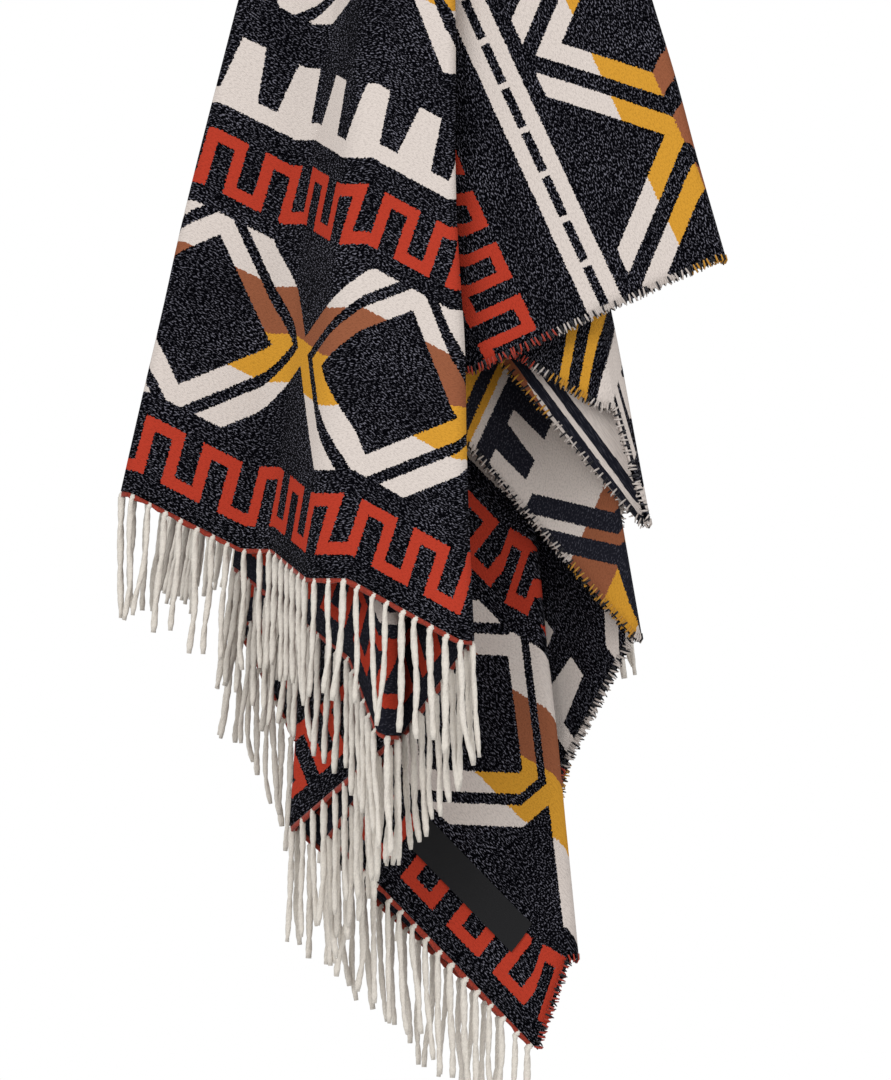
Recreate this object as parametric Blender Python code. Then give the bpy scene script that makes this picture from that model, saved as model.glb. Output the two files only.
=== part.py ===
"""Throw blanket hung from one point, with a fringe at each end and a small sewn label.

Every layer of the cloth is a straight fall from the hanging point to the bottom edge, so the
whole shape follows from one closed path: the blanket's own edge, walked once round.
"""

import math

import bpy
import numpy as np
from mathutils import Vector
from mathutils.geometry import tessellate_polygon

# Sizes in mm. U runs along the fringed ends, V along the stitched sides.
WIDTH_U = 1270.0
LENGTH_V = 1524.0
HANG_U, HANG_V = 593.5, 770.0      # the spot of the cloth that is held up
EDGE_ALL = 2 * (WIDTH_U + LENGTH_V)
CLOTH_THICK = 2.5
THIN_ABOVE = 420.0                 # above this depth the pinched cloth thins in proportion
APEX_ABOVE = 31.0                  # the falls meet this far above the hanging point
TOP_RING = 45.0                    # depth under that apex where the rounded top begins
FOLD_RADIUS = 0.0072               # of each fold, as a share of its depth
RADIUS_TIMES = {"fold": 1.0, "soft": 2.2, "wide": 5.0}
BALANCE = -0.09                    # moves every fall forward, so that the cloth hangs in balance

# Rounded top: height under the hanging point and width as a share of the top ring.
TOP_STEPS = [(-8.0, 0.94), (-3.2, 0.82), (-0.9, 0.64), (0.0, 0.42)]

# Depth rows of the fall: the first ones in mm, the rest as a share of what remains below.
ROWS_MM = [45.0, 170.0, 420.0]
ROWS_SHARE = [0.34, 0.67, 1.0]

# The cloth's edge from fold to fold.
# columns: name, walk along the edge, side (+ right), depth under the apex, forward share, kind
FRONT_FOLDS = [
    ("panel_a_left", 626, -164, 710, -0.050, "fold"),
    ("panel_a_ripple", 715, -87, 742, -0.080, "wide"),
    ("panel_a_swell", 803, -50, 758, -0.180, "wide"),
    ("panel_a_right", 901, 30, 792, -0.188, "fold"),
    ("under_a", 1104, -54, 903, -0.034, "fold"),
    ("corner_label", 1270, 63, 1020, -0.020, "corner"),
    ("panel_d_right", 1325, 85, 970, -0.010, "fold"),
    ("under_d", 1402, 36, 930, 0.020, "fold"),
    ("panel_k_right", 1600, 123, 792, -0.010, "fold"),
    ("panel_k_left", 1738, 24, 685, -0.062, "soft"),
    ("panel_b_left", 1774, 24, 644, -0.142, "soft"),
    ("panel_b_right", 1945, 170, 582, -0.145, "fold"),
    ("under_b", 2094, 30, 622, -0.127, "fold"),
    ("panel_g_bend", 2190, 106, 664, -0.121, "soft"),
    ("panel_g_right", 2253, 128, 728, -0.100, "fold"),
    ("under_g", 2342, 38, 632, -0.088, "fold"),
    ("panel_h_bend", 2420, 106, 681, -0.078, "soft"),
    ("panel_h_right", 2450, 121, 706, -0.058, "soft"),
    ("panel_r_right", 2490, 123, 716, 0.030, "soft"),
    ("corner_back", 2794, 47, 1006, 0.045, "corner"),
    ("panel_e_left", 2956, -73, 896, -0.030, "fold"),
    ("under_e", 3066, -13, 844, -0.150, "fold"),
    ("under_e_bend", 3130, -38, 800, -0.120, "soft"),
]

# Hidden folds behind: side and forward place as a share of depth, and how taut the cloth is.
BACK_FOLDS = [
    ("behind_a_left", 3250, -0.138, -0.002, 0.970, "fold"),
    ("behind_a_bend", 3310, -0.078, 0.032, 0.980, "soft"),
    ("back_1", 3500, 0.150, 0.096, 1.000, "fold"),
    ("panel_q_left", 3713, -0.139, 0.128, 1.000, "fold"),
    ("panel_q_bend", 3795, -0.083, 0.142, 1.045, "soft"),
    ("back_2", 3915, 0.045, 0.160, 0.980, "fold"),
    ("back_3", 3985, -0.030, 0.184, 0.980, "fold"),
    ("corner_back_left", 4064, 0.034, 0.205, 0.975, "corner"),
    ("back_4", 4170, 0.110, 0.226, 0.970, "fold"),
    ("back_5", 4401, -0.090, 0.256, 0.980, "fold"),
    ("back_6", 4593, 0.140, 0.287, 0.980, "fold"),
    ("back_7", 4774, -0.130, 0.311, 0.990, "fold"),
    ("back_8", 4988, 0.200, 0.338, 0.990, "fold"),
    ("back_9", 5224, -0.100, 0.366, 0.980, "fold"),
    ("back_10", 5470, 0.115, 0.396, 0.960, "fold"),
    ("corner_front_left", 5588, 0.040, 0.414, 0.960, "corner"),
    ("back_11", 5860, -0.130, 0.445, 0.900, "soft"),
    ("back_12", 6045, -0.200, 0.205, 0.920, "soft"),
    ("back_13", 6150, -0.166, 0.030, 0.935, "soft"),
]

# Fringe
STRAND_PITCH = 10.0
STRANDS_PER_END = 127
STRAND_WIDE = 4.2
ROOT_THICK = 2.0
ROOT_TALL = 4.0
ROOT_GAP = 0.4
FRINGE_LONG = 63.0
CORNER_KEEP = 40.0
# Where strands hang free and so straight down: first and last walk. Elsewhere they lie between
# layers and follow the cloth's fall.
FREE_STRANDS = [(575, 1330), (2740, 3190), (3713, 3850)]
FREE_RAMP = 45.0
# columns: share of the strand's length, width, thickness
STRAND_STEPS = [(0.45, 3.9, 3.2), (1.0, 3.0, 2.5)]

# Label
LABEL_LONG, LABEL_TALL, LABEL_THICK = 83.0, 22.0, 0.8
LABEL_U, LABEL_V = 1184.0, 42.0
LABEL_OFF = 0.35

# Colours of the solids, as red, green, blue in linear light.
CLOTH_COLOUR = (0.012, 0.012, 0.016)
FRINGE_COLOUR = (0.78, 0.73, 0.66)
LABEL_COLOUR = (0.006, 0.006, 0.008)


def edge_uv(walk):
    """The cloth's own place of a walk along its edge."""
    walk = walk % EDGE_ALL
    if walk <= WIDTH_U:
        return walk, 0.0
    if walk <= WIDTH_U + LENGTH_V:
        return WIDTH_U, walk - WIDTH_U
    if walk <= 2 * WIDTH_U + LENGTH_V:
        return 2 * WIDTH_U + LENGTH_V - walk, LENGTH_V
    return 0.0, EDGE_ALL - walk


def hang_distance(walk):
    u, v = edge_uv(walk)
    return math.hypot(u - HANG_U, v - HANG_V)


def fold_tips():
    """Rows of (walk, point, kind), the point in mm from the apex, with z downwards negative."""
    tips = []
    for _, walk, side, depth, forward, kind in FRONT_FOLDS:
        forward += BALANCE
        tips.append((float(walk), np.array([side, forward * depth, -depth], float), kind))
    for _, walk, side, forward, taut, kind in BACK_FOLDS:
        forward += BALANCE
        depth = hang_distance(walk) * taut / math.sqrt(1 + side * side + forward * forward)
        tips.append((float(walk), np.array([side * depth, forward * depth, -depth]), kind))
    return tips


def fold_points(before, tip, after, kind):
    """The small round of one fold, as (walk step, point) rows about its tip."""
    if kind == "corner":
        return [(0.0, tip)]
    depth = -tip[2]
    flat = tip[:2] / depth
    into = before[:2] / -before[2] - flat
    out = after[:2] / -after[2] - flat
    into, out = into / np.linalg.norm(into), out / np.linalg.norm(out)
    bisector = into + out
    bisector = bisector / np.linalg.norm(bisector)
    turn = math.pi - math.acos(max(-1.0, min(1.0, float(into @ out))))
    radius = FOLD_RADIUS * RADIUS_TIMES[kind]
    centre = flat + bisector * radius
    # Sideways axis of the arc, on the side the path comes from.
    across = into - bisector * float(into @ bisector)
    across = across / np.linalg.norm(across)
    count = 5 if turn > 1.9 or kind == "wide" else 3
    rows = []
    for step in range(count):
        angle = turn * (0.5 - step / (count - 1))
        place = centre - bisector * radius * math.cos(angle) + across * radius * math.sin(angle)
        walk_step = -angle * radius * depth
        rows.append((walk_step, np.array([place[0] * depth, place[1] * depth, -depth])))
    return rows


def edge_path():
    """(walks, points) of the rounded edge path, ready to be read between its rows."""
    tips = fold_tips()
    walks, points = [], []
    for index, (walk, tip, kind) in enumerate(tips):
        before = tips[index - 1][1]
        after = tips[(index + 1) % len(tips)][1]
        for walk_step, point in fold_points(before, tip, after, kind):
            walks.append(walk + walk_step)
            points.append(point)
    return np.array(walks), np.array(points)


def read_path(walks, points, at):
    """Points of a closed path at the walks asked for."""
    first = walks[0]
    ring_walks = np.append(walks, first + EDGE_ALL)
    ring_points = np.vstack([points, points[:1]])
    at = (np.asarray(at, float) - first) % EDGE_ALL + first
    return np.stack([np.interp(at, ring_walks, ring_points[:, k]) for k in range(3)], axis=-1)


def is_end(walk):
    """Whether this walk is on one of the two fringed ends."""
    walk = walk % EDGE_ALL
    return walk <= WIDTH_U or WIDTH_U + LENGTH_V <= walk <= 2 * WIDTH_U + LENGTH_V


def snap_to_strands(walk):
    """On a fringed end the cloth's columns stand where strands begin or end."""
    if not is_end(walk):
        return walk
    base = 0.0 if walk % EDGE_ALL <= WIDTH_U else WIDTH_U + LENGTH_V
    along = (walk % EDGE_ALL) - base
    if along < 1.0 or along > WIDTH_U - 1.0:
        return walk
    half = STRAND_WIDE / 2
    middle = STRAND_PITCH / 2
    cell = math.floor(along / STRAND_PITCH) * STRAND_PITCH
    marks = [cell + middle - half, cell + middle + half]
    marks += [marks[0] - STRAND_PITCH, marks[1] - STRAND_PITCH]
    marks += [marks[0] + STRAND_PITCH, marks[1] + STRAND_PITCH]
    marks = [mark for mark in marks if 0 < mark < WIDTH_U]
    nearest = min(marks, key=lambda mark: abs(mark - along))
    return walk + nearest - along


def edge_columns(walks, longest):
    """Walks of the cloth's columns: every row of the path and even steps between them."""
    found = []
    ring = list(walks) + [walks[0] + EDGE_ALL]
    for start, end in zip(ring[:-1], ring[1:]):
        steps = max(1, math.ceil((end - start) / longest))
        found += [start + (end - start) * step / steps for step in range(steps)]
    found = sorted({round(snap_to_strands(walk), 4) for walk in found})
    kept = [found[0]]
    for walk in found[1:]:
        if walk - kept[-1] > 1.5:
            kept.append(walk)
    return np.array(kept)


def outward(points):
    """Unit normals of the falls, facing the cloth's outer side, and unit edge directions."""
    ahead = np.roll(points, -1, axis=0) - points
    behind = points - np.roll(points, 1, axis=0)
    ahead /= np.linalg.norm(ahead, axis=1, keepdims=True)
    behind /= np.linalg.norm(behind, axis=1, keepdims=True)
    along = ahead + behind
    along /= np.linalg.norm(along, axis=1, keepdims=True)
    fall = points / np.linalg.norm(points, axis=1, keepdims=True)
    first, second = np.cross(fall, ahead), np.cross(fall, behind)
    first /= np.linalg.norm(first, axis=1, keepdims=True)
    second /= np.linalg.norm(second, axis=1, keepdims=True)
    normal = first + second
    normal /= np.linalg.norm(normal, axis=1, keepdims=True)
    # A column in a bend stands out a little more, so that the thickness stays even.
    stretch = 1 / np.clip(np.einsum("ij,ij->i", normal, first), 0.6, 1.0)
    return normal, stretch, along


class Cloth:
    """The hung cloth as columns along its edge."""

    def __init__(self, longest):
        path_walks, path_points = edge_path()
        self.walks = edge_columns(path_walks, longest)
        self.points = read_path(path_walks, path_points, self.walks)
        self.normals, self.stretch, self.along = outward(self.points)
        fall = self.points / np.linalg.norm(self.points, axis=1, keepdims=True)
        away = fall - self.along * np.einsum("ij,ij->i", fall, self.along)[:, None]
        self.away = away / np.linalg.norm(away, axis=1, keepdims=True)

    def layer(self, depth_rows, side):
        """Rings of points, one for each depth row, on the outer (+1) or inner (-1) side."""
        rings = []
        for unit, value in depth_rows:
            bottom = -self.points[:, 2]
            depth = np.full(len(bottom), value) if unit == "mm" else (
                ROWS_MM[-1] + (bottom - ROWS_MM[-1]) * value)
            ring = self.points * (depth / bottom)[:, None]
            thick = CLOTH_THICK * np.minimum(1.0, depth / THIN_ABOVE)
            rings.append(ring + self.normals * (side * self.stretch * thick / 2)[:, None])
        return rings

    def at(self, walk, values):
        ring = np.append(self.walks, self.walks[0] + EDGE_ALL)
        rows = np.vstack([values, values[:1]])
        walk = (walk - ring[0]) % EDGE_ALL + ring[0]
        return np.array([np.interp(walk, ring, rows[:, k]) for k in range(3)])


def settle(points):
    """From the apex to the hanging point, with the slight sway of a soft hanging thing."""
    points = np.array(points, float)
    placed = points.copy()
    depth = -points[:, 2]
    sway = np.clip((depth - TOP_RING) / 400.0, 0.0, 1.0)
    placed[:, 0] += sway * 2.2 * np.sin(depth / 118.0 + points[:, 1] / 150.0)
    placed[:, 1] += sway * 3.0 * np.sin(depth / 96.0 + points[:, 0] / 90.0)
    placed[:, 2] += APEX_ABOVE
    return placed


def make_object(name, vertices, faces, material):
    mesh = bpy.data.meshes.new(name)
    mesh.from_pydata([tuple(float(c) / 1000 for c in vertex) for vertex in vertices], [], faces)
    mesh.validate()
    mesh.materials.append(material)
    obj = bpy.data.objects.new(name, mesh)
    bpy.context.scene.collection.objects.link(obj)
    return obj


def make_material(name, colour, roughness):
    material = bpy.data.materials.new(name)
    material.use_nodes = True
    shader = material.node_tree.nodes["Principled BSDF"]
    shader.inputs["Base Color"].default_value = (*colour, 1.0)
    shader.inputs["Roughness"].default_value = roughness
    return material


def ring_faces(lower, upper, flip):
    """Two triangles a step between two closed rings of vertex numbers."""
    faces = []
    for index in range(len(lower)):
        after = (index + 1) % len(lower)
        a, b, c, d = lower[index], lower[after], upper[after], upper[index]
        pair = [(a, b, c), (a, c, d)]
        faces += [face[::-1] for face in pair] if flip else pair
    return faces


def cap_faces(ring, vertices, upwards):
    loop = [Vector((vertices[k][0], vertices[k][1], 0.0)) for k in ring]
    faces = []
    for a, b, c in tessellate_polygon([loop]):
        turn = (loop[b] - loop[a]).cross(loop[c] - loop[a]).z
        face = (ring[a], ring[b], ring[c])
        faces.append(face if (turn > 0) == upwards else face[::-1])
    return faces


def top_rings(ring, steps):
    """Smaller rings above the first one: the rounded top."""
    return [np.column_stack([ring[:, 0] * share, ring[:, 1] * share,
                             np.full(len(ring), height)]) for height, share in steps]


def build_blanket(cloth, material):
    rows = [("mm", value) for value in ROWS_MM] + [("share", value) for value in ROWS_SHARE]
    vertices, numbered = [], {}
    for side in (1, -1):
        falls = [settle(ring) for ring in cloth.layer(rows, side)]
        rings = top_rings(falls[0], TOP_STEPS if side == 1 else [])[::-1] + falls
        numbered[side] = []
        for ring in rings:
            start = len(vertices)
            vertices += list(ring)
            numbered[side].append(list(range(start, start + len(ring))))
    faces = []
    for side in (1, -1):
        rings = numbered[side]
        for upper, lower in zip(rings[:-1], rings[1:]):
            faces += ring_faces(lower, upper, side == -1)
        faces += cap_faces(rings[0], vertices, side == 1)
    faces += ring_faces(numbered[-1][-1], numbered[1][-1], False)
    return make_object("blanket", vertices, faces, material)


def strand_noise(number, salt):
    """A steady value from -1 to 1 for a strand."""
    value = math.sin(number * 12.9898 + salt * 78.233) * 43758.5453
    return 2 * (value - math.floor(value)) - 1


def hang_direction(fall, walk):
    """The way a strand hangs: mostly straight down where it is free."""
    walk = walk % EDGE_ALL
    free = max(min(1.0, (walk - first) / FREE_RAMP, (last - walk) / FREE_RAMP)
               for first, last in FREE_STRANDS)
    lean = 1.0 - 0.75 * max(0.0, free)
    down = fall * lean + np.array([0.0, 0.0, -1.0]) * (1 - lean)
    return down / np.linalg.norm(down)


def build_fringe(cloth, name, base, material):
    """A narrow root strip that follows one end, and the strands that hang from it."""
    half = STRAND_WIDE / 2
    walks = [base + 0.6]
    for strand in range(STRANDS_PER_END):
        middle = STRAND_PITCH * (strand + 0.5)
        walks += [base + middle - half, base + middle + half]
    walks.append(base + WIDTH_U - 0.6)
    vertices, faces = [], []
    columns = []
    for walk in walks:
        edge = cloth.at(walk, cloth.points)
        # Near a corner the strip keeps the direction of its own end of the cloth.
        inner = min(max(walk, base + CORNER_KEEP), base + WIDTH_U - CORNER_KEEP)
        normal = cloth.at(inner, cloth.normals)
        normal /= np.linalg.norm(normal)
        away = cloth.at(inner, cloth.away)
        away /= np.linalg.norm(away)
        top = edge + away * ROOT_GAP
        low = top + away * ROOT_TALL
        start = len(vertices)
        for place in (top, low):
            vertices += [place + normal * ROOT_THICK / 2, place - normal * ROOT_THICK / 2]
        columns.append((start, start + 1, start + 2, start + 3))
    last = len(columns) - 1
    for index in range(last):
        ot, it, ob, ib = columns[index]
        ot2, it2, ob2, ib2 = columns[index + 1]
        faces += [(ot, ob, ob2), (ot, ob2, ot2), (it, it2, ib2), (it, ib2, ib),
                  (ot, ot2, it2), (ot, it2, it)]
        if index % 2 == 0:
            faces += [(ob, ib, ib2), (ob, ib2, ob2)]
    for column, flip in ((columns[0], False), (columns[last], True)):
        ot, it, ob, ib = column
        pair = [(ot, it, ib), (ot, ib, ob)]
        faces += [face[::-1] for face in pair] if flip else pair
    for strand in range(STRANDS_PER_END):
        left, right = columns[1 + 2 * strand], columns[2 + 2 * strand]
        add_strand(cloth, vertices, faces, left, right, base, strand)
    return make_object(name, settle(vertices), faces, material)


def add_strand(cloth, vertices, faces, left, right, base, strand):
    walk = base + STRAND_PITCH * (strand + 0.5)
    root = [left[2], right[2], right[3], left[3]]
    centre = sum(vertices[k] for k in root) / 4
    fall = centre / np.linalg.norm(centre)
    down = hang_direction(fall, walk)
    across = vertices[right[2]] - vertices[left[2]]
    across = across - down * float(across @ down)
    across /= np.linalg.norm(across)
    through = np.cross(down, across)
    if float(through @ (vertices[left[2]] - vertices[left[3]])) < 0:
        through = -through
    length = FRINGE_LONG * (1 + 0.06 * strand_noise(strand, 1 + base))
    swing = 2.4 * math.sin(strand * 0.41 + base) + 0.8 * strand_noise(strand, 2 + base)
    sway = 1.2 * math.sin(strand * 0.29 + base)
    before = root
    for share, wide, thick in STRAND_STEPS:
        place = centre + down * length * share
        place = place + across * swing * share * share + through * sway * share * share
        start = len(vertices)
        for a, b in ((-1, 1), (1, 1), (1, -1), (-1, -1)):
            vertices.append(place + across * a * wide / 2 + through * b * thick / 2)
        after = list(range(start, start + 4))
        for k in range(4):
            m = (k + 1) % 4
            faces.append((before[k], after[k], after[m]))
            faces.append((before[k], after[m], before[m]))
        before = after
    faces += [(before[0], before[3], before[2]), (before[0], before[2], before[1])]


def cloth_point(cloth, u, v):
    """The middle of the cloth and its outward side at one place of the flat cloth."""
    du, dv = u - HANG_U, v - HANG_V
    reach = []
    if du:
        reach.append((WIDTH_U - HANG_U if du > 0 else -HANG_U) / du)
    if dv:
        reach.append((LENGTH_V - HANG_V if dv > 0 else -HANG_V) / dv)
    out = min(reach)
    edge_u, edge_v = HANG_U + du * out, HANG_V + dv * out
    if abs(edge_v) < 1e-6:
        walk = edge_u
    elif abs(edge_u - WIDTH_U) < 1e-6:
        walk = WIDTH_U + edge_v
    elif abs(edge_v - LENGTH_V) < 1e-6:
        walk = 2 * WIDTH_U + LENGTH_V - edge_u
    else:
        walk = EDGE_ALL - edge_v
    normal = cloth.at(walk, cloth.normals)
    return cloth.at(walk, cloth.points) / out, normal / np.linalg.norm(normal)


def build_label(cloth, material):
    across, down = 8, 2
    vertices, faces = [], []
    for lift in (LABEL_OFF, LABEL_OFF + LABEL_THICK):
        for j in range(down + 1):
            for i in range(across + 1):
                u = LABEL_U + LABEL_LONG * (i / across - 0.5)
                v = LABEL_V + LABEL_TALL * (j / down - 0.5)
                middle, normal = cloth_point(cloth, u, v)
                vertices.append(middle + normal * (CLOTH_THICK / 2 + lift))
    count = (across + 1) * (down + 1)
    for j in range(down):
        for i in range(across):
            a = j * (across + 1) + i
            b, c, d = a + 1, a + across + 2, a + across + 1
            faces += [(a, b, c), (a, c, d)]
            faces += [(a + count, c + count, b + count), (a + count, d + count, c + count)]
    rim = [i for i in range(across + 1)]
    rim += [j * (across + 1) + across for j in range(1, down + 1)]
    rim += [down * (across + 1) + i for i in range(across - 1, -1, -1)]
    rim += [j * (across + 1) for j in range(down - 1, 0, -1)]
    for k in range(len(rim)):
        a, b = rim[k], rim[(k + 1) % len(rim)]
        faces += [(a, b + count, b), (a, a + count, b + count)]
    return make_object("label", settle(vertices), faces, material)


def face_outwards(obj):
    """Turns a closed body's faces so that its volume counts as positive."""
    mesh = obj.data
    volume = 0.0
    for face in mesh.polygons:
        corners = [mesh.vertices[k].co for k in face.vertices]
        for k in range(1, len(corners) - 1):
            volume += corners[0].dot(corners[k].cross(corners[k + 1]))
    if volume < 0:
        mesh.flip_normals()


def main():
    for obj in list(bpy.data.objects):
        bpy.data.objects.remove(obj, do_unlink=True)
    cloth = Cloth(longest=38.0)
    woven = make_material("cloth", CLOTH_COLOUR, 0.95)
    yarn = make_material("fringe", FRINGE_COLOUR, 0.9)
    satin = make_material("label", LABEL_COLOUR, 0.5)
    made = [
        build_blanket(cloth, woven),
        build_fringe(cloth, "fringe_front", 0.0, yarn),
        build_fringe(cloth, "fringe_back", WIDTH_U + LENGTH_V, yarn),
        build_label(cloth, satin),
    ]
    for obj in made:
        face_outwards(obj)


main()
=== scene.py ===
import math

import bpy
import numpy as np
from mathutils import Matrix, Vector
from mathutils.geometry import tessellate_polygon


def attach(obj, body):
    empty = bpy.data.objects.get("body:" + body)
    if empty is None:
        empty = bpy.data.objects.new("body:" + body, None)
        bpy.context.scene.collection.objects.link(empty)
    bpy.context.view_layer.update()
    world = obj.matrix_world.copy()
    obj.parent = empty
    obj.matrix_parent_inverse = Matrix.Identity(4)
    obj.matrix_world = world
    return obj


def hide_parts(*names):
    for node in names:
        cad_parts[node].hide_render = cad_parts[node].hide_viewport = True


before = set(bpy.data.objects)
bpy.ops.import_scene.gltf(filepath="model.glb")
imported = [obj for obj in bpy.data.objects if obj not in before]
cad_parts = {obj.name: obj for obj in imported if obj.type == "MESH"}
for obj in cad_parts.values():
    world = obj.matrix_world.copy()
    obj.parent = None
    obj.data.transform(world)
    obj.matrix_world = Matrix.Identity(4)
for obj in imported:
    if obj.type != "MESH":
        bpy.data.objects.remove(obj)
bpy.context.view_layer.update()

# The blanket hangs from one point, and every layer falls straight from it to the bottom edge.

# Sizes in mm. U runs along the fringed ends, V along the stitched sides.
WIDTH_U = 1270.0
LENGTH_V = 1524.0
HANG_U, HANG_V = 593.5, 770.0      # the spot of the cloth that is held up
EDGE_ALL = 2 * (WIDTH_U + LENGTH_V)
CLOTH_THICK = 2.5
THIN_ABOVE = 420.0                 # above this depth the pinched cloth thins in proportion
APEX_ABOVE = 31.0                  # the falls meet this far above the hanging point
TOP_RING = 45.0                    # depth under that apex where the rounded top begins
FOLD_RADIUS = 0.0072               # of each fold, as a share of its depth
RADIUS_TIMES = {"fold": 1.0, "soft": 2.2, "wide": 5.0}
BALANCE = -0.09                    # moves every fall forward, so that the cloth hangs in balance
SHARP_TURN = 1.9                   # radians; a fold that turns more has more columns
MANY_COLUMNS, FEW_COLUMNS = 5, 3   # in the round of a fold
LEAST_COLUMN = 1.5                 # between two columns, along the edge
# Slight sway of a soft hanging thing: size, length down the fall and length across
SWAY_SIDE = (2.2, 118.0, 150.0)
SWAY_FORWARD = (3.0, 96.0, 90.0)
SWAY_FULL = 400.0                  # below the rounded top the sway grows over this depth

# Rounded top: height under the hanging point and width as a share of the top ring.
TOP_STEPS = [(-8.0, 0.94), (-3.2, 0.82), (-0.9, 0.64), (0.0, 0.42)]

# The cloth's edge from fold to fold.
# columns: name, walk along the edge, side (+ right), depth under the apex, forward share, kind
FRONT_FOLDS = [
    ("panel_a_left", 626, -164, 710, -0.050, "fold"),
    ("panel_a_ripple", 715, -87, 742, -0.080, "wide"),
    ("panel_a_swell", 803, -50, 758, -0.180, "wide"),
    ("panel_a_right", 901, 30, 792, -0.188, "fold"),
    ("under_a", 1104, -54, 903, -0.034, "fold"),
    ("corner_label", 1270, 63, 1020, -0.020, "corner"),
    ("panel_d_right", 1325, 85, 970, -0.010, "fold"),
    ("under_d", 1402, 36, 930, 0.020, "fold"),
    ("panel_k_right", 1600, 123, 792, -0.010, "fold"),
    ("panel_k_left", 1738, 24, 685, -0.062, "soft"),
    ("panel_b_left", 1774, 24, 644, -0.142, "soft"),
    ("panel_b_right", 1945, 170, 582, -0.145, "fold"),
    ("under_b", 2094, 30, 622, -0.127, "fold"),
    ("panel_g_bend", 2190, 106, 664, -0.121, "soft"),
    ("panel_g_right", 2253, 128, 728, -0.100, "fold"),
    ("under_g", 2342, 38, 632, -0.088, "fold"),
    ("panel_h_bend", 2420, 106, 681, -0.078, "soft"),
    ("panel_h_right", 2450, 121, 706, -0.058, "soft"),
    ("panel_r_right", 2490, 123, 716, 0.030, "soft"),
    ("corner_back", 2794, 47, 1006, 0.045, "corner"),
    ("panel_e_left", 2956, -73, 896, -0.030, "fold"),
    ("under_e", 3066, -13, 844, -0.150, "fold"),
    ("under_e_bend", 3130, -38, 800, -0.120, "soft"),
]

# Hidden folds behind: side and forward place as a share of depth, and how taut the cloth is.
BACK_FOLDS = [
    ("behind_a_left", 3250, -0.138, -0.002, 0.970, "fold"),
    ("behind_a_bend", 3310, -0.078, 0.032, 0.980, "soft"),
    ("back_1", 3500, 0.150, 0.096, 1.000, "fold"),
    ("panel_q_left", 3713, -0.139, 0.128, 1.000, "fold"),
    ("panel_q_bend", 3795, -0.083, 0.142, 1.045, "soft"),
    ("back_2", 3915, 0.045, 0.160, 0.980, "fold"),
    ("back_3", 3985, -0.030, 0.184, 0.980, "fold"),
    ("corner_back_left", 4064, 0.034, 0.205, 0.975, "corner"),
    ("back_4", 4170, 0.110, 0.226, 0.970, "fold"),
    ("back_5", 4401, -0.090, 0.256, 0.980, "fold"),
    ("back_6", 4593, 0.140, 0.287, 0.980, "fold"),
    ("back_7", 4774, -0.130, 0.311, 0.990, "fold"),
    ("back_8", 4988, 0.200, 0.338, 0.990, "fold"),
    ("back_9", 5224, -0.100, 0.366, 0.980, "fold"),
    ("back_10", 5470, 0.115, 0.396, 0.960, "fold"),
    ("corner_front_left", 5588, 0.040, 0.414, 0.960, "corner"),
    ("back_11", 5860, -0.130, 0.445, 0.900, "soft"),
    ("back_12", 6045, -0.200, 0.205, 0.920, "soft"),
    ("back_13", 6150, -0.166, 0.030, 0.935, "soft"),
]

# Fringe
STRAND_PITCH = 10.0
STRANDS_PER_END = 127
STRAND_WIDE = 4.2
FRINGE_LONG = 63.0
CORNER_KEEP = 40.0                 # nearer a corner the directions stay as they are this far in
# Where strands hang free and so straight down: first and last walk. Elsewhere they lie between
# layers and follow the cloth's fall.
FREE_STRANDS = [(575, 1330), (2740, 3190), (3713, 3850)]
FREE_RAMP = 45.0
FREE_SHARE = 0.75                  # how much of a free strand's direction is straight down


def edge_uv(walk):
    """The cloth's own place of a walk along its edge."""
    walk = walk % EDGE_ALL
    if walk <= WIDTH_U:
        return walk, 0.0
    if walk <= WIDTH_U + LENGTH_V:
        return WIDTH_U, walk - WIDTH_U
    if walk <= 2 * WIDTH_U + LENGTH_V:
        return 2 * WIDTH_U + LENGTH_V - walk, LENGTH_V
    return 0.0, EDGE_ALL - walk


def hang_distance(walk):
    u, v = edge_uv(walk)
    return math.hypot(u - HANG_U, v - HANG_V)


def fold_tips():
    """Rows of (walk, point, kind), the point in mm from the apex, with z downwards negative."""
    tips = []
    for _, walk, side, depth, forward, kind in FRONT_FOLDS:
        forward += BALANCE
        tips.append((float(walk), np.array([side, forward * depth, -depth], float), kind))
    for _, walk, side, forward, taut, kind in BACK_FOLDS:
        forward += BALANCE
        depth = hang_distance(walk) * taut / math.sqrt(1 + side * side + forward * forward)
        tips.append((float(walk), np.array([side * depth, forward * depth, -depth]), kind))
    return tips


def fold_points(before, tip, after, kind):
    """The small round of one fold, as (walk step, point) rows about its tip."""
    if kind == "corner":
        return [(0.0, tip)]
    depth = -tip[2]
    flat = tip[:2] / depth
    into = before[:2] / -before[2] - flat
    out = after[:2] / -after[2] - flat
    into, out = into / np.linalg.norm(into), out / np.linalg.norm(out)
    bisector = into + out
    bisector = bisector / np.linalg.norm(bisector)
    turn = math.pi - math.acos(max(-1.0, min(1.0, float(into @ out))))
    radius = FOLD_RADIUS * RADIUS_TIMES[kind]
    centre = flat + bisector * radius
    # Sideways axis of the arc, on the side the path comes from.
    across = into - bisector * float(into @ bisector)
    across = across / np.linalg.norm(across)
    count = MANY_COLUMNS if turn > SHARP_TURN or kind == "wide" else FEW_COLUMNS
    rows = []
    for step in range(count):
        angle = turn * (0.5 - step / (count - 1))
        place = centre - bisector * radius * math.cos(angle) + across * radius * math.sin(angle)
        walk_step = -angle * radius * depth
        rows.append((walk_step, np.array([place[0] * depth, place[1] * depth, -depth])))
    return rows


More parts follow.
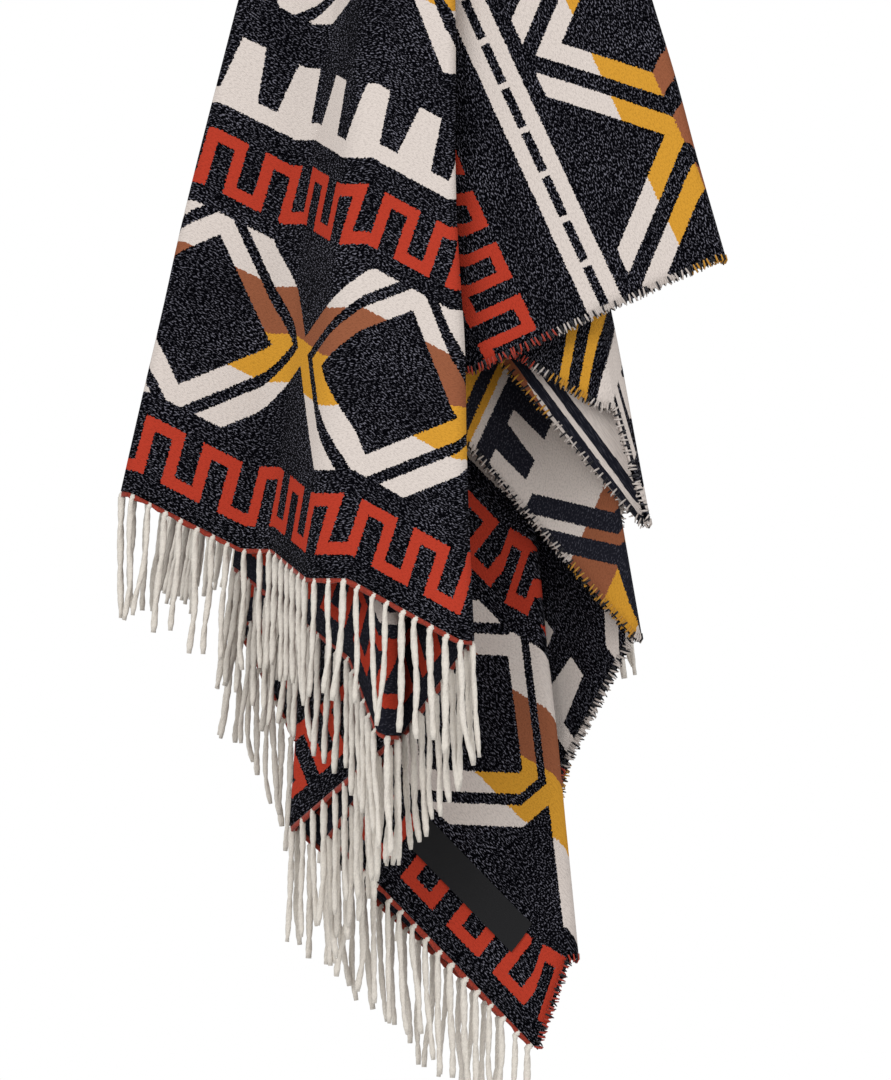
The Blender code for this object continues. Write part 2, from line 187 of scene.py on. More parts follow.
def edge_path():
    """(walks, points) of the rounded edge path, ready to be read between its rows."""
    tips = fold_tips()
    walks, points = [], []
    for index, (walk, tip, kind) in enumerate(tips):
        before = tips[index - 1][1]
        after = tips[(index + 1) % len(tips)][1]
        for walk_step, point in fold_points(before, tip, after, kind):
            walks.append(walk + walk_step)
            points.append(point)
    return np.array(walks), np.array(points)


def read_path(walks, points, at):
    """Points of a closed path at the walks asked for."""
    first = walks[0]
    ring_walks = np.append(walks, first + EDGE_ALL)
    ring_points = np.vstack([points, points[:1]])
    at = (np.asarray(at, float) - first) % EDGE_ALL + first
    return np.stack([np.interp(at, ring_walks, ring_points[:, k]) for k in range(3)], axis=-1)


def is_end(walk):
    """Whether this walk is on one of the two fringed ends."""
    walk = walk % EDGE_ALL
    return walk <= WIDTH_U or WIDTH_U + LENGTH_V <= walk <= 2 * WIDTH_U + LENGTH_V


def snap_to_strands(walk):
    """On a fringed end the cloth's columns stand where strands begin or end."""
    if not is_end(walk):
        return walk
    base = 0.0 if walk % EDGE_ALL <= WIDTH_U else WIDTH_U + LENGTH_V
    along = (walk % EDGE_ALL) - base
    if along < 1.0 or along > WIDTH_U - 1.0:
        return walk
    half = STRAND_WIDE / 2
    middle = STRAND_PITCH / 2
    cell = math.floor(along / STRAND_PITCH) * STRAND_PITCH
    marks = [cell + middle - half, cell + middle + half]
    marks += [marks[0] - STRAND_PITCH, marks[1] - STRAND_PITCH]
    marks += [marks[0] + STRAND_PITCH, marks[1] + STRAND_PITCH]
    marks = [mark for mark in marks if 0 < mark < WIDTH_U]
    nearest = min(marks, key=lambda mark: abs(mark - along))
    return walk + nearest - along


def edge_columns(walks, longest):
    """Walks of the cloth's columns: every row of the path and even steps between them."""
    found = []
    ring = list(walks) + [walks[0] + EDGE_ALL]
    for start, end in zip(ring[:-1], ring[1:]):
        steps = max(1, math.ceil((end - start) / longest))
        found += [start + (end - start) * step / steps for step in range(steps)]
    found = sorted({round(snap_to_strands(walk), 4) for walk in found})
    kept = [found[0]]
    for walk in found[1:]:
        if walk - kept[-1] > LEAST_COLUMN:
            kept.append(walk)
    return np.array(kept)


def outward(points):
    """Unit normals of the falls, facing the cloth's outer side, and unit edge directions."""
    ahead = np.roll(points, -1, axis=0) - points
    behind = points - np.roll(points, 1, axis=0)
    ahead /= np.linalg.norm(ahead, axis=1, keepdims=True)
    behind /= np.linalg.norm(behind, axis=1, keepdims=True)
    along = ahead + behind
    along /= np.linalg.norm(along, axis=1, keepdims=True)
    fall = points / np.linalg.norm(points, axis=1, keepdims=True)
    first, second = np.cross(fall, ahead), np.cross(fall, behind)
    first /= np.linalg.norm(first, axis=1, keepdims=True)
    second /= np.linalg.norm(second, axis=1, keepdims=True)
    normal = first + second
    normal /= np.linalg.norm(normal, axis=1, keepdims=True)
    # A column in a bend stands out a little more, so that the thickness stays even.
    stretch = 1 / np.clip(np.einsum("ij,ij->i", normal, first), 0.6, 1.0)
    return normal, stretch, along


class Cloth:
    """The hung cloth as columns along its edge."""

    def __init__(self, longest):
        path_walks, path_points = edge_path()
        self.walks = edge_columns(path_walks, longest)
        self.points = read_path(path_walks, path_points, self.walks)
        self.normals, self.stretch, self.along = outward(self.points)
        fall = self.points / np.linalg.norm(self.points, axis=1, keepdims=True)
        away = fall - self.along * np.einsum("ij,ij->i", fall, self.along)[:, None]
        self.away = away / np.linalg.norm(away, axis=1, keepdims=True)

    def at(self, walk, values):
        ring = np.append(self.walks, self.walks[0] + EDGE_ALL)
        rows = np.vstack([values, values[:1]])
        walk = (walk - ring[0]) % EDGE_ALL + ring[0]
        return np.array([np.interp(walk, ring, rows[:, k]) for k in range(3)])


def settle(points):
    """From the apex to the hanging point, with the slight sway of a soft hanging thing."""
    points = np.array(points, float)
    placed = points.copy()
    depth = -points[:, 2]
    grown = np.clip((depth - TOP_RING) / SWAY_FULL, 0.0, 1.0)
    for axis, across, (size, down_length, across_length) in ((0, 1, SWAY_SIDE),
                                                             (1, 0, SWAY_FORWARD)):
        turn = depth / down_length + points[:, across] / across_length
        placed[:, axis] += grown * size * np.sin(turn)
    placed[:, 2] += APEX_ABOVE
    return placed


def cap_faces(ring, vertices, upwards):
    """Triangles that close a ring of points, seen from above or from below."""
    loop = [Vector((vertices[k][0], vertices[k][1], 0.0)) for k in ring]
    faces = []
    for a, b, c in tessellate_polygon([loop]):
        turn = (loop[b] - loop[a]).cross(loop[c] - loop[a]).z
        face = (ring[a], ring[b], ring[c])
        faces.append(face if (turn > 0) == upwards else face[::-1])
    return faces


def top_rings(ring, steps):
    """Smaller rings above the first one: the rounded top."""
    return [np.column_stack([ring[:, 0] * share, ring[:, 1] * share,
                             np.full(len(ring), height)]) for height, share in steps]


def strand_noise(number, salt):
    """A steady value from -1 to 1 for a strand."""
    value = math.sin(number * 12.9898 + salt * 78.233) * 43758.5453
    return 2 * (value - math.floor(value)) - 1


def hang_direction(fall, walk):
    """The way a strand hangs: mostly straight down where it is free."""
    walk = walk % EDGE_ALL
    free = max(min(1.0, (walk - first) / FREE_RAMP, (last - walk) / FREE_RAMP)
               for first, last in FREE_STRANDS)
    lean = 1.0 - FREE_SHARE * max(0.0, free)
    down = fall * lean + np.array([0.0, 0.0, -1.0]) * (1 - lean)
    return down / np.linalg.norm(down)


# Finer cloth for the picture
COLUMN_STEP = 6.0
ROWS_FINE_MM = [45, 75, 115, 165, 225, 290, 350, 420]
ROWS_FINE_SHARE = [step / 22 for step in range(1, 23)]
SHEET_THINNER = 0.2                # the visible cloth stays this much inside the solid
WOBBLE = 1.1

# Strands
STRAND_RINGS = 15
STRAND_SIDES = 8
STRAND_ROOT, STRAND_WIDTH = 3.0, 4.1
STRAND_TAPER, STRAND_TIP = 0.5, 0.8
STRAND_TWIST, STRAND_PLY = 0.62, 0.34
STRAND_UNEVEN = 0.9                # of the place along the edge
KNEE = 3.4                         # a strand leaves the hem this far before it falls
STRIP_STEP = 5.0

# Stitches
STITCH_PITCH = 1.15
STITCH_OUT = 2.0
STITCH_IN = 2.7
STITCH_LIFT = 1.55                 # off the cloth's middle
STITCH_LEAN = 1.5
STITCH_UNEVEN = 0.5
STITCH_WIDTHS = [0.9, 1.2, 0.6]
STITCH_SIDES = 4

# Colours in linear light
DARK = (0.0008, 0.0008, 0.0018)
DARK_REVERSE = (0.0110, 0.0115, 0.0175)
DARK_FLECK = (0.172, 0.170, 0.208)
WHITE = (0.645, 0.575, 0.530)
RED = (0.430, 0.042, 0.022)
OCHRE = (0.600, 0.290, 0.032)
BROWN = (0.275, 0.094, 0.046)
YARN = (0.840, 0.780, 0.700)
SATIN = (0.003, 0.003, 0.004)
ROOT_RED = (0.46, 0.055, 0.030)
STITCH_DARK = (0.012, 0.012, 0.016)

# Bands of the weave by distance from the nearer fringed end, in mm.
# columns: first, last, colour of the motif there
COLOUR_BANDS = [
    (0, 54, RED), (96, 124, OCHRE), (124, 151, BROWN), (180, 228, RED),
    (338, 361, OCHRE), (361, 386, BROWN), (462, 496, OCHRE), (508, 566, RED),
    (652, 680, OCHRE), (680, 708, BROWN),
]
# columns: first, last, shift along the band
MEANDERS = [(13, 47, 18), (187, 221, 7), (521, 556, 14)]
# columns: first, last, shift along the band, inner and outer side of the second stripe
HEXAGON_BANDS = [(60, 176, 0, 17.5, 34.0), (304, 420, 0, 17.5, 34.0), (618, 742, -20, 22.5, 39.0)]
COMBS = [(236, 278, 1), (426, 458, -1)]
PLAIN_LINES = [(466, 473), (482, 489), (587, 609)]
DASH_LINE = (595.3, 600.7)
MEANDER_PERIOD, MEANDER_STROKE = 36.0, 7.0
HEXAGON_PERIOD, HEXAGON_SLOPE = 160.67, 1.0
CROSS_HALF = 8.5
COMB_PERIOD, COMB_BAR = 36.0, 10.0
TOOTH_HALF, TOOTH_TAPER = 13.0, 0.13
DASH_PERIOD, DASH_ON = 31.0, 27.0
END_BAND = 54.0
MIDDLE_V = LENGTH_V / 2

# Threads: noise cells to a metre, and how the noise turns into flecks and shade.
MOTIF_EDGE = 2.6                   # unevenness of the motifs' edges, in mm
MOTIF_CELLS_U, MOTIF_CELLS_V, MOTIF_SHAPE_V = 760.0, 690.0, (1.0, 1.3, 1.0)
THREAD_CELLS, THREAD_SHAPE, THREAD_TURN = 1000.0, (0.55, 1.35, 1.0), 0.5
PATCH_CELLS, PATCH_LEAST, PATCH_MORE = 26.0, 0.10, 1.4
FLECK_FROM, FLECK_SLOPE, FLECK_REVERSE = 0.55, 7.5, 0.35
SHADE_FROM, SHADE_SLOPE, SHADE_SHARE, SHADE_DARK = 0.46, 5.0, 0.42, 0.42
FUZZ_CELLS, FUZZ_SHAPE = 1300.0, (0.5, 1.0, 1.0)
YARN_CELLS = 900.0
RIB_CELLS, RIB_SHAPE = 1500.0, (0.3, 0.3, 1.0)

# Under panel B the cloth is bunched, so the weave there is further along than the folds' walks.
# columns: walk of the folds, walk of the weave
BUNCHED = [(1945, 1945), (2094, 2230), (2190, 2345), (2253, 2390), (2342, 2420), (2420, 2455),
           (2450, 2470), (2490, 2500)]

# The picture's middle and height, in metres: 0.55 mm a pixel.
PICTURE_X = 0.0140
PICTURE_Z = -0.706
PICTURE_TALL = 0.594
PICTURE_PIXELS = (891, 1080)
CAMERA_AWAY = 6.0
CLOTH_FRONT = 0.17                 # the front panels are this far before the held point
SENSOR_TALL = 24.0
SAMPLES = 64

# Lights
ROOM_LIGHT = 0.70
LIGHTS_AIM = (0.0, -0.1, -0.65)
# columns: name, place, size, power
LIGHTS = [
    ("key", (-1.6, -3.2, 0.7), 1.8, 54.0),
    ("fill", (2.4, -3.0, -0.4), 2.2, 20.0),
    ("top", (0.2, -0.6, 2.2), 1.6, 12.0),
]


class Number:
    """A value of a shader, so that a motif can be written as plain sums."""

    def __init__(self, tree, socket):
        self.tree, self.socket = tree, socket

    def do(self, operation, *others):
        node = self.tree.nodes.new("ShaderNodeMath")
        node.operation = operation
        for place, value in enumerate((self,) + others):
            if isinstance(value, Number):
                self.tree.links.new(value.socket, node.inputs[place])
            else:
                node.inputs[place].default_value = float(value)
        return Number(self.tree, node.outputs[0])

    def __add__(self, other):
        return self.do("ADD", other)

    def __sub__(self, other):
        return self.do("SUBTRACT", other)

    def __mul__(self, other):
        return self.do("MULTIPLY", other)

    def __gt__(self, other):
        return self.do("GREATER_THAN", other)

    def __lt__(self, other):
        return self.do("LESS_THAN", other)

    def both(self, other):
        return self.do("MULTIPLY", other)

    def either(self, other):
        return self.do("MAXIMUM", other)

    def opposite(self):
        return self * -1.0 + 1.0

    def clamp(self):
        return self.do("MAXIMUM", 0.0).do("MINIMUM", 1.0)

    def size(self):
        return self.do("ABSOLUTE")

    def wrap(self, period):
        return self.do("WRAP", period, 0.0)

    def inside(self, first, last):
        return (self > first).both(self < last)


def noise(tree, vector, scale, detail=2.0, stretch=(1.0, 1.0, 1.0), turn=0.0):
    mapping = tree.nodes.new("ShaderNodeMapping")
    mapping.inputs["Rotation"].default_value[2] = turn
    mapping.inputs["Scale"].default_value = stretch
    tree.links.new(vector, mapping.inputs["Vector"])
    node = tree.nodes.new("ShaderNodeTexNoise")
    node.inputs["Scale"].default_value = scale
    node.inputs["Detail"].default_value = detail
    tree.links.new(mapping.outputs["Vector"], node.inputs["Vector"])
    return Number(tree, node.outputs[0])


def mix(tree, share, first, second):
    """first and second are colours or sockets; share turns first into second."""
    node = tree.nodes.new("ShaderNodeMix")
    node.data_type = "RGBA"
    if isinstance(share, Number):
        tree.links.new(share.socket, node.inputs[0])
    else:
        node.inputs[0].default_value = share
    for place, value in ((6, first), (7, second)):
        if isinstance(value, tuple):
            node.inputs[place].default_value = (*value, 1.0)
        else:
            tree.links.new(value, node.inputs[place])
    return node.outputs[2]


def meander(u, v, first, last, shift):
    p = (u - shift).wrap(MEANDER_PERIOD)
    half = MEANDER_PERIOD / 2
    upright = (p < MEANDER_STROKE).either(p.inside(half, half + MEANDER_STROKE))
    high = (v > last - MEANDER_STROKE).both(p < half + MEANDER_STROKE)
    low = (v < first + MEANDER_STROKE).both((p > half).either(p < MEANDER_STROKE))
    return v.inside(first, last).both(upright.either(high).either(low))


def hexagons(u, v, first, last, shift, inner, outer):
    middle = (first + last) / 2
    x = ((u - shift).wrap(HEXAGON_PERIOD) - HEXAGON_PERIOD / 2).size()
    y = (v - middle).size()
    lean = x - y * HEXAGON_SLOPE
    cross = lean.inside(-CROSS_HALF, CROSS_HALF)
    side = lean.inside(inner, outer)
    return v.inside(first, last).both(cross.either(side))


def comb(u, v, first, last, way):
    rise = (v - first) if way > 0 else (v * -1.0 + last)
    x = (u.wrap(COMB_PERIOD) - COMB_PERIOD / 2).size()
    tooth = (x + rise * TOOTH_TAPER) < TOOTH_HALF
    bar = rise < COMB_BAR
    return v.inside(first, last).both(bar.either(tooth))


def dashed(u, v):
    hole = u.wrap(DASH_PERIOD) < DASH_ON
    return v.inside(*DASH_LINE).both(hole)


def weave_parts(tree):
    """The cloth's coordinates, the motif's mask on the face and behind, and its band's colour."""
    uv = tree.nodes.new("ShaderNodeUVMap")
    uv.uv_map = "cloth"
    split = tree.nodes.new("ShaderNodeSeparateXYZ")
    tree.links.new(uv.outputs[0], split.inputs[0])
    rough_u = noise(tree, uv.outputs[0], MOTIF_CELLS_U, 1.0)
    rough_v = noise(tree, uv.outputs[0], MOTIF_CELLS_V, 1.0, MOTIF_SHAPE_V)
    u = Number(tree, split.outputs[0]) * 1000.0 + (rough_u - 0.5) * MOTIF_EDGE
    v_all = Number(tree, split.outputs[1]) * 1000.0 + (rough_v - 0.5) * MOTIF_EDGE
    v = (v_all - MIDDLE_V).size() * -1.0 + MIDDLE_V
    mask = None
    shapes = [meander(u, v, *band) for band in MEANDERS]
    shapes += [hexagons(u, v, *band) for band in HEXAGON_BANDS]
    shapes += [comb(u, v, *band) for band in COMBS]
    shapes += [v.inside(*band) for band in PLAIN_LINES]
    for shape in shapes:
        mask = shape if mask is None else mask.either(shape)
    mask = mask.both(dashed(u, v).opposite())
    colour = WHITE
    for first, last, band_colour in COLOUR_BANDS:
        colour = mix(tree, v.inside(first, last), colour, band_colour)
    # The end bands look alike on both faces. Elsewhere the reverse swaps ground and motif.
    end = v < END_BAND
    behind = mask.both(end).either(mask.opposite().both(end.opposite()))
    return uv.outputs[0], mask, behind, colour


def new_material(name, roughness, specular):
    material = bpy.data.materials.new(name)
    material.use_nodes = True
    tree = material.node_tree
    shader = tree.nodes["Principled BSDF"]
    shader.inputs["Roughness"].default_value = roughness
    shader.inputs["Specular IOR Level"].default_value = specular
    return material, tree, shader


def add_bump(tree, shader, height, strength, distance):
    bump = tree.nodes.new("ShaderNodeBump")
    bump.inputs["Strength"].default_value = strength
    bump.inputs["Distance"].default_value = distance
    tree.links.new(height.socket, bump.inputs["Height"])
    tree.links.new(bump.outputs[0], shader.inputs["Normal"])


def cloth_material(name, reverse):
    """Double weave: the motif is light on a dark ground, and the other way round behind."""
    material, tree, shader = new_material(name, 0.95, 0.01)
    shader.inputs["Sheen Weight"].default_value = 0.006
    shader.inputs["Sheen Roughness"].default_value = 0.6
    uv, mask, mask_behind, colour = weave_parts(tree)
    if reverse:
        mask = mask_behind
    threads = noise(tree, uv, THREAD_CELLS, 1.0, THREAD_SHAPE, THREAD_TURN)
    patches = noise(tree, uv, PATCH_CELLS, 2.0)
    fleck = ((threads - FLECK_FROM) * FLECK_SLOPE).clamp()
    ground, amount = (DARK_REVERSE, FLECK_REVERSE) if reverse else (DARK, 1.0)
    flecked = fleck * (patches * PATCH_MORE + PATCH_LEAST) * amount
    dark = mix(tree, flecked, ground, DARK_FLECK)
    shade = ((threads - SHADE_FROM) * SHADE_SLOPE).clamp() * SHADE_SHARE
    light = mix(tree, shade, colour, mix(tree, SHADE_DARK, colour, DARK))
    tree.links.new(mix(tree, mask, dark, light), shader.inputs["Base Color"])
    fuzz = noise(tree, uv, FUZZ_CELLS, 3.0, FUZZ_SHAPE)
    add_bump(tree, shader, fuzz + mask * 0.5, 0.55, 0.0009)
    return material


def yarn_material(name, colour, depth=0.35):
    """Yarn in a colour, darker by this depth where its bump is low: random tone of the yarn and
    painted shade between its fibres.
    """
    material, tree, shader = new_material(name, 0.92, 0.2)
    shader.inputs["Sheen Weight"].default_value = 0.15
    place = tree.nodes.new("ShaderNodeTexCoord")
    grain_and_gap_shade = noise(tree, place.outputs["Object"], YARN_CELLS, 2.0)
    # The darker colour falls where the bump is low: painted shade between the fibres, on top of
    # the yarn's random tone.
    gap_shaded_colour = tuple(value * (1 - depth) for value in colour)
    tree.links.new(mix(tree, grain_and_gap_shade, gap_shaded_colour, colour), shader.inputs["Base Color"])
    add_bump(tree, shader, grain_and_gap_shade, 0.5, 0.0005)
    return material


def satin_material():
    material, tree, shader = new_material("label_satin", 0.55, 0.22)
    shader.inputs["Base Color"].default_value = (*SATIN, 1.0)
    place = tree.nodes.new("ShaderNodeTexCoord")
    ribs = noise(tree, place.outputs["Object"], RIB_CELLS, 1.0, RIB_SHAPE)
    add_bump(tree, shader, ribs, 0.25, 0.0003)
    return material


def mesh_object(name, vertices, faces, materials, slots):
    """A piece from points in mm and faces, each with its material's number."""
    mesh = bpy.data.meshes.new(name)
    mesh.from_pydata((np.asarray(vertices) / 1000).tolist(), [], faces)
    for material in materials:
        mesh.materials.append(material)
    mesh.polygons.foreach_set("material_index", slots)
    mesh.polygons.foreach_set("use_smooth", [True] * len(mesh.polygons))
    obj = bpy.data.objects.new(name, mesh)
    bpy.context.scene.collection.objects.link(obj)
    return obj


def weave_walk(walk):
    """The walk of the weave at a walk of the folds."""
    rows = np.array(BUNCHED, float)
    if rows[0, 0] < walk < rows[-1, 0]:
        return float(np.interp(walk, rows[:, 0], rows[:, 1]))
    return walk


def flat_place(walks, share):
    """The cloth's own coordinates, in metres, at a share of the way from the held spot."""
    edge = np.array([edge_uv(weave_walk(walk)) for walk in walks])
    held = np.array([HANG_U, HANG_V])
    return (held + (edge - held) * share[:, None]) / 1000


def wobble(flat):
    """Soft unevenness of the cloth, none at its edges and at the label."""
    u, v = flat[:, 0] * 1000, flat[:, 1] * 1000
    from_edge = np.minimum(np.minimum(u, WIDTH_U - u), np.minimum(v, LENGTH_V - v))
    fade = np.clip((from_edge - 60) / 90, 0, 1)
    from_held = np.hypot(u - HANG_U, v - HANG_V)
    fade = fade * np.clip((from_held - 250) / 300, 0, 1)
    return WOBBLE * fade * (np.sin(u / 31 + 1.3 * np.sin(v / 47)) + np.sin(v / 38 + u / 73))


def make_cloth(cloth, face, reverse):
    """The whole blanket as a thin closed sheet, with its coordinates as a UV map."""
    bottom = -cloth.points[:, 2]
    rows = [np.full(len(bottom), float(value)) for value in ROWS_FINE_MM]
    rows += [ROWS_FINE_MM[-1] + (bottom - ROWS_FINE_MM[-1]) * value for value in ROWS_FINE_SHARE]
    vertices, flats, numbered = [], [], {}
    total = 0
    for side in (1, -1):
        numbered[side] = []
        rings, ring_flats = [], []
        for depth in rows:
            share = depth / bottom
            flat = flat_place(cloth.walks, share)
            thick = (CLOTH_THICK - SHEET_THINNER) * np.minimum(1.0, depth / THIN_ABOVE)
            lift = (side * cloth.stretch * thick / 2 + wobble(flat))[:, None]
            rings.append(settle(cloth.points * share[:, None] + cloth.normals * lift))
            ring_flats.append(flat)
        extra = top_rings(rings[0], TOP_STEPS if side == 1 else [])[::-1]
        ring_flats = [ring_flats[0]] * len(extra) + ring_flats
        for ring, flat in zip(extra + rings, ring_flats):
            vertices.append(ring)
            flats.append(flat)
            numbered[side].append(np.arange(total, total + len(ring)))
            total += len(ring)
    vertices, flats = np.vstack(vertices), np.vstack(flats)
    faces, slots = [], []
    for side in (1, -1):
        rings = numbered[side]
        for upper, lower in zip(rings[:-1], rings[1:]):
            quads = np.stack([lower, np.roll(lower, -1), np.roll(upper, -1), upper], axis=1)
            if side == -1:
                quads = quads[:, ::-1]
            faces += quads.tolist()
            slots += [0 if side == 1 else 1] * len(quads)
        cap = cap_faces(rings[0].tolist(), vertices, side == 1)
        faces += [list(triangle) for triangle in cap]
        slots += [0 if side == 1 else 1] * len(cap)
    inner, outer = numbered[-1][-1], numbered[1][-1]
    rim = np.stack([inner, np.roll(inner, -1), np.roll(outer, -1), outer], axis=1)
    faces += rim.tolist()
    slots += [0] * len(rim)
    obj = mesh_object("blanket_cloth", vertices, faces, [face, reverse], slots)
    layer = obj.data.uv_layers.new(name="cloth")
    corners = np.empty(len(obj.data.loops), np.int32)
    obj.data.loops.foreach_get("vertex_index", corners)
    layer.data.foreach_set("uv", flats[corners].ravel())
    return obj


def tube(vertices, faces, slots, centres, widths, slot, sides, start_across, twist=0.0, ply=0.0):
    """A closed tube along centres. ply makes it two-stranded, turning by twist a ring."""
    count = len(centres)
    base = len(vertices)
    for index in range(count):
        ahead = centres[min(index + 1, count - 1)] - centres[max(index - 1, 0)]
        ahead = ahead / np.linalg.norm(ahead)
        across = start_across - ahead * float(start_across @ ahead)
        across = across / np.linalg.norm(across)
        other = np.cross(ahead, across)
        for side in range(sides):
            angle = 2 * math.pi * side / sides
            radius = widths[index] / 2 * (1 - ply + ply * abs(math.cos(angle)) ** 0.8)
            turned = angle + twist * index
            vertices.append(centres[index] + (across * math.cos(turned)
                                              + other * math.sin(turned)) * radius)
    for index in range(count - 1):
        for side in range(sides):
            after = (side + 1) % sides
            a, b = base + index * sides + side, base + index * sides + after
            faces.append([a, b, b + sides, a + sides])
            slots.append(slot)
    faces.append([base + side for side in range(sides)][::-1])
    faces.append([base + (count - 1) * sides + side for side in range(sides)])
    slots += [slot, slot]


def edge_frame(cloth, walk, base, length):
    """The edge's point at a walk, and the unit directions out of the cloth and away from it."""
    inner = min(max(walk, base + CORNER_KEEP), base + length - CORNER_KEEP)
    normal = cloth.at(inner, cloth.normals)
    normal /= np.linalg.norm(normal)
    away = cloth.at(inner, cloth.away)
    away /= np.linalg.norm(away)
    return cloth.at(walk, cloth.points), normal, away


def make_fringe(cloth, name, base, materials):
    """Twisted strands along one end, out of a narrow root strip."""
    vertices, faces, slots = [], [], []
    salt = 3.0 if base else 0.0
    for strand in range(STRANDS_PER_END):
        walk = base + STRAND_PITCH * (strand + 0.5)
        walk += STRAND_UNEVEN * strand_noise(strand, 5 + salt)
        edge, normal, away = edge_frame(cloth, walk, base, WIDTH_U)
        fall = edge / np.linalg.norm(edge)
        down = hang_direction(fall, walk)
        across = np.cross(down, normal)
        across /= np.linalg.norm(across)
        through = np.cross(across, down)
        length = FRINGE_LONG * (1 + 0.07 * strand_noise(strand, 1 + salt))
        swing = 3.4 * math.sin(strand * 0.41 + salt) + 4.6 * strand_noise(strand, 2 + salt)
        curl = 1.9 * strand_noise(strand, 3 + salt)
        sway = 1.4 * math.sin(strand * 0.29 + salt) + 1.6 * strand_noise(strand, 4 + salt)
        plump = 1 + 0.13 * strand_noise(strand, 6 + salt)
        root = edge + away * 0.2
        knee = root + away * KNEE
        centres = [root, root + away * 1.8]
        widths = [STRAND_ROOT, STRAND_WIDTH * plump]
        for ring in range(STRAND_RINGS):
            t = ring / (STRAND_RINGS - 1)
            wave = curl * math.sin(t * 7.0 + strand * 1.7) * t
            centres.append(knee + down * length * t + across * (swing * t * t + wave)
                           + through * sway * t * t)
            widths.append((STRAND_WIDTH - STRAND_TAPER * t) * plump)
        widths[-1] -= STRAND_TIP
        tube(vertices, faces, slots, centres, widths, 0, STRAND_SIDES, across,
             STRAND_TWIST, STRAND_PLY)
    add_strip(cloth, base, vertices, faces, slots)
    return mesh_object(name, settle(vertices), faces, materials, slots)


def add_strip(cloth, base, vertices, faces, slots):
    """The low strip of crossing yarns that the strands come out of."""
    walks = np.arange(base + 1.0, base + WIDTH_U - 0.9, STRIP_STEP)
    start = len(vertices)
    for walk in walks:
        edge, normal, away = edge_frame(cloth, walk, base, WIDTH_U)
        low = 2.6 + 0.8 * strand_noise(walk, 9)
        for reach, out in ((0.1, 0.9), (low, 0.6), (low, -0.6), (0.1, -0.9)):
            vertices.append(edge + away * reach + normal * out)
    for index in range(len(walks) - 1):
        a = start + 4 * index
        for k in range(4):
            m = (k + 1) % 4
            faces.append([a + k, a + 4 + k, a + 4 + m, a + m])
            slots.append(1)
    last = start + 4 * (len(walks) - 1)
    faces += [[start + k for k in range(4)], [last + k for k in range(4)][::-1]]
    slots += [1, 1]


def band_number(v):
    """The stitch yarn of a band: 0 dark, 1 white, 2 red, 3 ochre."""
    v = min(v, LENGTH_V - v)
    for first, last, colour in COLOUR_BANDS:
        if first <= v <= last:
            return 2 if colour == RED else 3
    return 1


def make_stitches(cloth, materials):
    """Short overlock stitches along both sides of the blanket."""
    vertices, faces, slots = [], [], []
    count = int(LENGTH_V / STITCH_PITCH)
    for number, base in enumerate((WIDTH_U, 2 * WIDTH_U + LENGTH_V)):
        for step in range(1, count):
            walk = base + step * STITCH_PITCH
            walk += STITCH_UNEVEN * strand_noise(step, 11 + number)
            edge, normal, away = edge_frame(cloth, walk, base, LENGTH_V)
            along = np.cross(away, normal)
            lean = STITCH_LEAN * strand_noise(step, 12 + number)
            out = STITCH_OUT * (1 + 0.4 * strand_noise(step, 13 + number))
            side = 1 if step % 2 else -1
            lift = normal * side * STITCH_LIFT
            tip = normal * side * STITCH_UNEVEN * strand_noise(step, 14)
            centres = [edge - away * STITCH_IN + lift,
                       edge + away * 0.4 + lift * 0.9 + along * lean * 0.4,
                       edge + away * out + tip + along * lean]
            v = edge_uv(weave_walk(walk))[1]
            slot = 0 if step % 3 == 0 else band_number(v)
            tube(vertices, faces, slots, centres, STITCH_WIDTHS, slot, STITCH_SIDES, along)
    return mesh_object("side_stitches", settle(vertices), faces, materials, slots)


def add_light(name, place, size, power):
    light = bpy.data.lights.new(name, "AREA")
    light.shape = "DISK"
    light.size = size
    light.energy = power
    obj = bpy.data.objects.new(name, light)
    bpy.context.scene.collection.objects.link(obj)
    obj.location = place
    aim = Vector(LIGHTS_AIM) - Vector(place)
    obj.rotation_euler = aim.to_track_quat("-Z", "Y").to_euler()


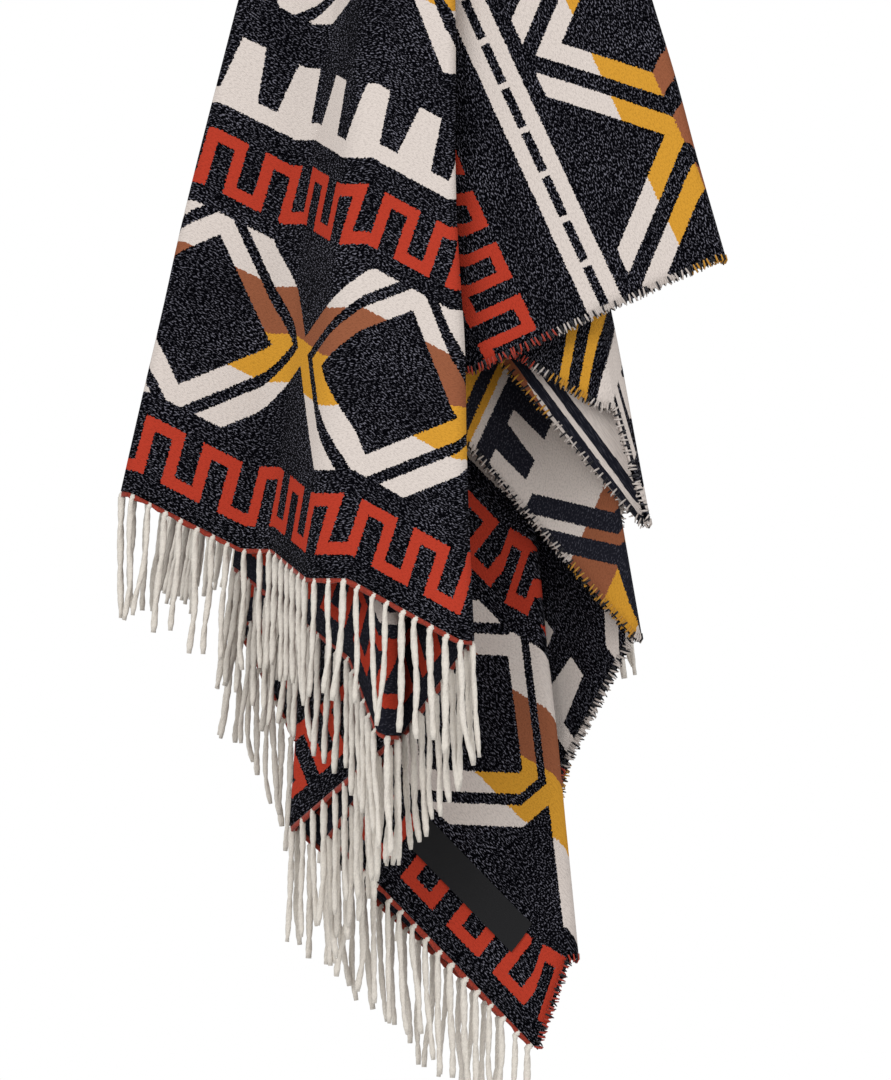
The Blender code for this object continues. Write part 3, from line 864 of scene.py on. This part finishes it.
def make_room():
    """Soft light from all sides, in front of plain white."""
    world = bpy.data.worlds.new("soft_room")
    world.use_nodes = True
    tree = world.node_tree
    room = tree.nodes["Background"]
    paper = tree.nodes.new("ShaderNodeBackground")
    for background, strength in ((room, ROOM_LIGHT), (paper, 1.0)):
        background.inputs["Color"].default_value = (1.0, 1.0, 1.0, 1.0)
        background.inputs["Strength"].default_value = strength
    rays = tree.nodes.new("ShaderNodeLightPath")
    either = tree.nodes.new("ShaderNodeMixShader")
    tree.links.new(rays.outputs["Is Camera Ray"], either.inputs[0])
    tree.links.new(room.outputs[0], either.inputs[1])
    tree.links.new(paper.outputs[0], either.inputs[2])
    tree.links.new(either.outputs[0], tree.nodes["World Output"].inputs["Surface"])
    bpy.context.scene.world = world


def set_picture():
    """Lights, the camera and the picture's settings."""
    scene = bpy.context.scene
    for light in LIGHTS:
        add_light(*light)
    camera = bpy.data.cameras.new("photo")
    camera.sensor_fit = "VERTICAL"
    camera.sensor_height = SENSOR_TALL
    camera.lens = SENSOR_TALL * (CAMERA_AWAY - CLOTH_FRONT) / PICTURE_TALL
    camera.clip_end = 50.0
    obj = bpy.data.objects.new("photo", camera)
    scene.collection.objects.link(obj)
    obj.location = (PICTURE_X, -CAMERA_AWAY, PICTURE_Z)
    obj.rotation_euler = (math.pi / 2, 0.0, 0.0)
    scene.camera = obj
    scene.render.resolution_x, scene.render.resolution_y = PICTURE_PIXELS
    scene.render.engine = "CYCLES"
    scene.cycles.samples = SAMPLES
    scene.cycles.use_denoising = True
    scene.view_settings.view_transform = "Standard"
    scene.view_settings.look = "None"


def main():
    cloth = Cloth(longest=COLUMN_STEP)
    face = cloth_material("cloth_face", False)
    reverse = cloth_material("cloth_reverse", True)
    yarn = yarn_material("yarn", YARN)
    red = yarn_material("yarn_red", RED)
    # The root strip goes almost black where its bump is low: painted shade between the fibres,
    # deeper than on the other yarns.
    root = yarn_material("yarn_root", ROOT_RED, 0.9)
    dark = yarn_material("yarn_dark", STITCH_DARK)
    white = yarn_material("yarn_white", WHITE)
    ochre = yarn_material("yarn_ochre", OCHRE)
    sheet = make_cloth(cloth, face, reverse)
    front = make_fringe(cloth, "fringe_strands_front", 0.0, [yarn, root])
    back = make_fringe(cloth, "fringe_strands_back", WIDTH_U + LENGTH_V, [yarn, root])
    stitches = make_stitches(cloth, [dark, white, red, ochre])
    for piece, slot in ((sheet, "cloth"), (front, "fringe"), (back, "fringe"),
                        (stitches, "cloth")):
        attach(piece, "root")
    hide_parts("blanket")
    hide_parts("fringe_front")
    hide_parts("fringe_back")
    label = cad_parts["label"]
    label.data.materials.clear()
    label.data.materials.append(satin_material())
    make_room()
    set_picture()


main()
